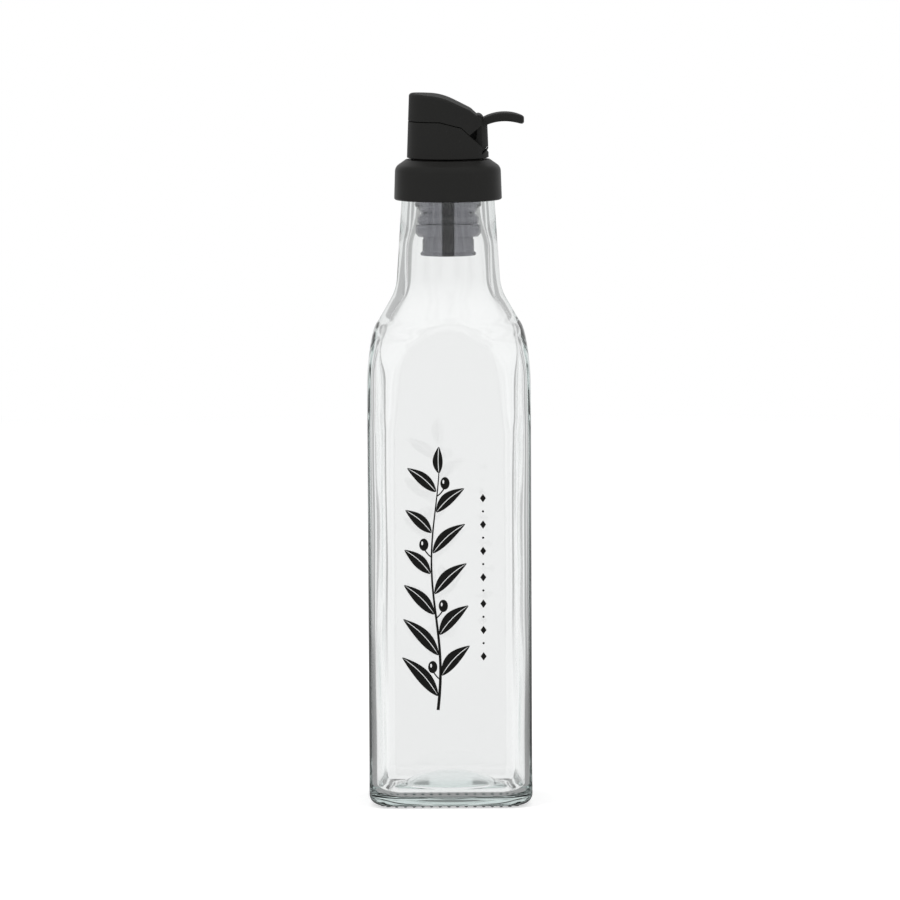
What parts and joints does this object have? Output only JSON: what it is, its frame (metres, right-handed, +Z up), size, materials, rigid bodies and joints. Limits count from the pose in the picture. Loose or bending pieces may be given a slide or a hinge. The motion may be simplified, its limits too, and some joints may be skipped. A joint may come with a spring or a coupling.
{
  "type": "glass oil cruet",
  "caption": "Tall square glass oil bottle with a round neck, a push-in stopper and tube, a black collar and a flip-lid pourer with a thumb lever.",
  "frame": {"origin": "centre of the square foot the bottle stands on", "axes": "+Z up through the neck, -X the pouring side, +X the thumb lever, -Y the front panel"},
  "size_m": [0.062, 0.062, 0.2699],
  "materials": {
    "bottle_glass": "clear, polished, very slightly green where it is thick",
    "stopper_plastic": "smooth grey moulded plastic",
    "tube_plastic": "dark smoked plastic",
    "collar_plastic": "black, softly glossy",
    "pourer_plastic": "black, satin",
    "pin_plastic": "black",
    "lid_plastic": "black, glossy on top"
  },
  "bodies": {
    "bottle": {"glass_bottle": "bottle_glass", "stopper": "stopper_plastic", "pour_tube": "tube_plastic", "collar": "collar_plastic", "pourer_body": "pourer_plastic", "hinge_pin": "pin_plastic"},
    "lid": {"flip_lid": "lid_plastic"}
  },
  "joints": [
    {"name": "lid_hinge", "type": "hinge", "parent": "bottle", "child": "lid", "pos_m": [0.00859, 0, 0.2537], "axis": [0, 1, 0], "range_deg": [0, 40]}
  ]
}
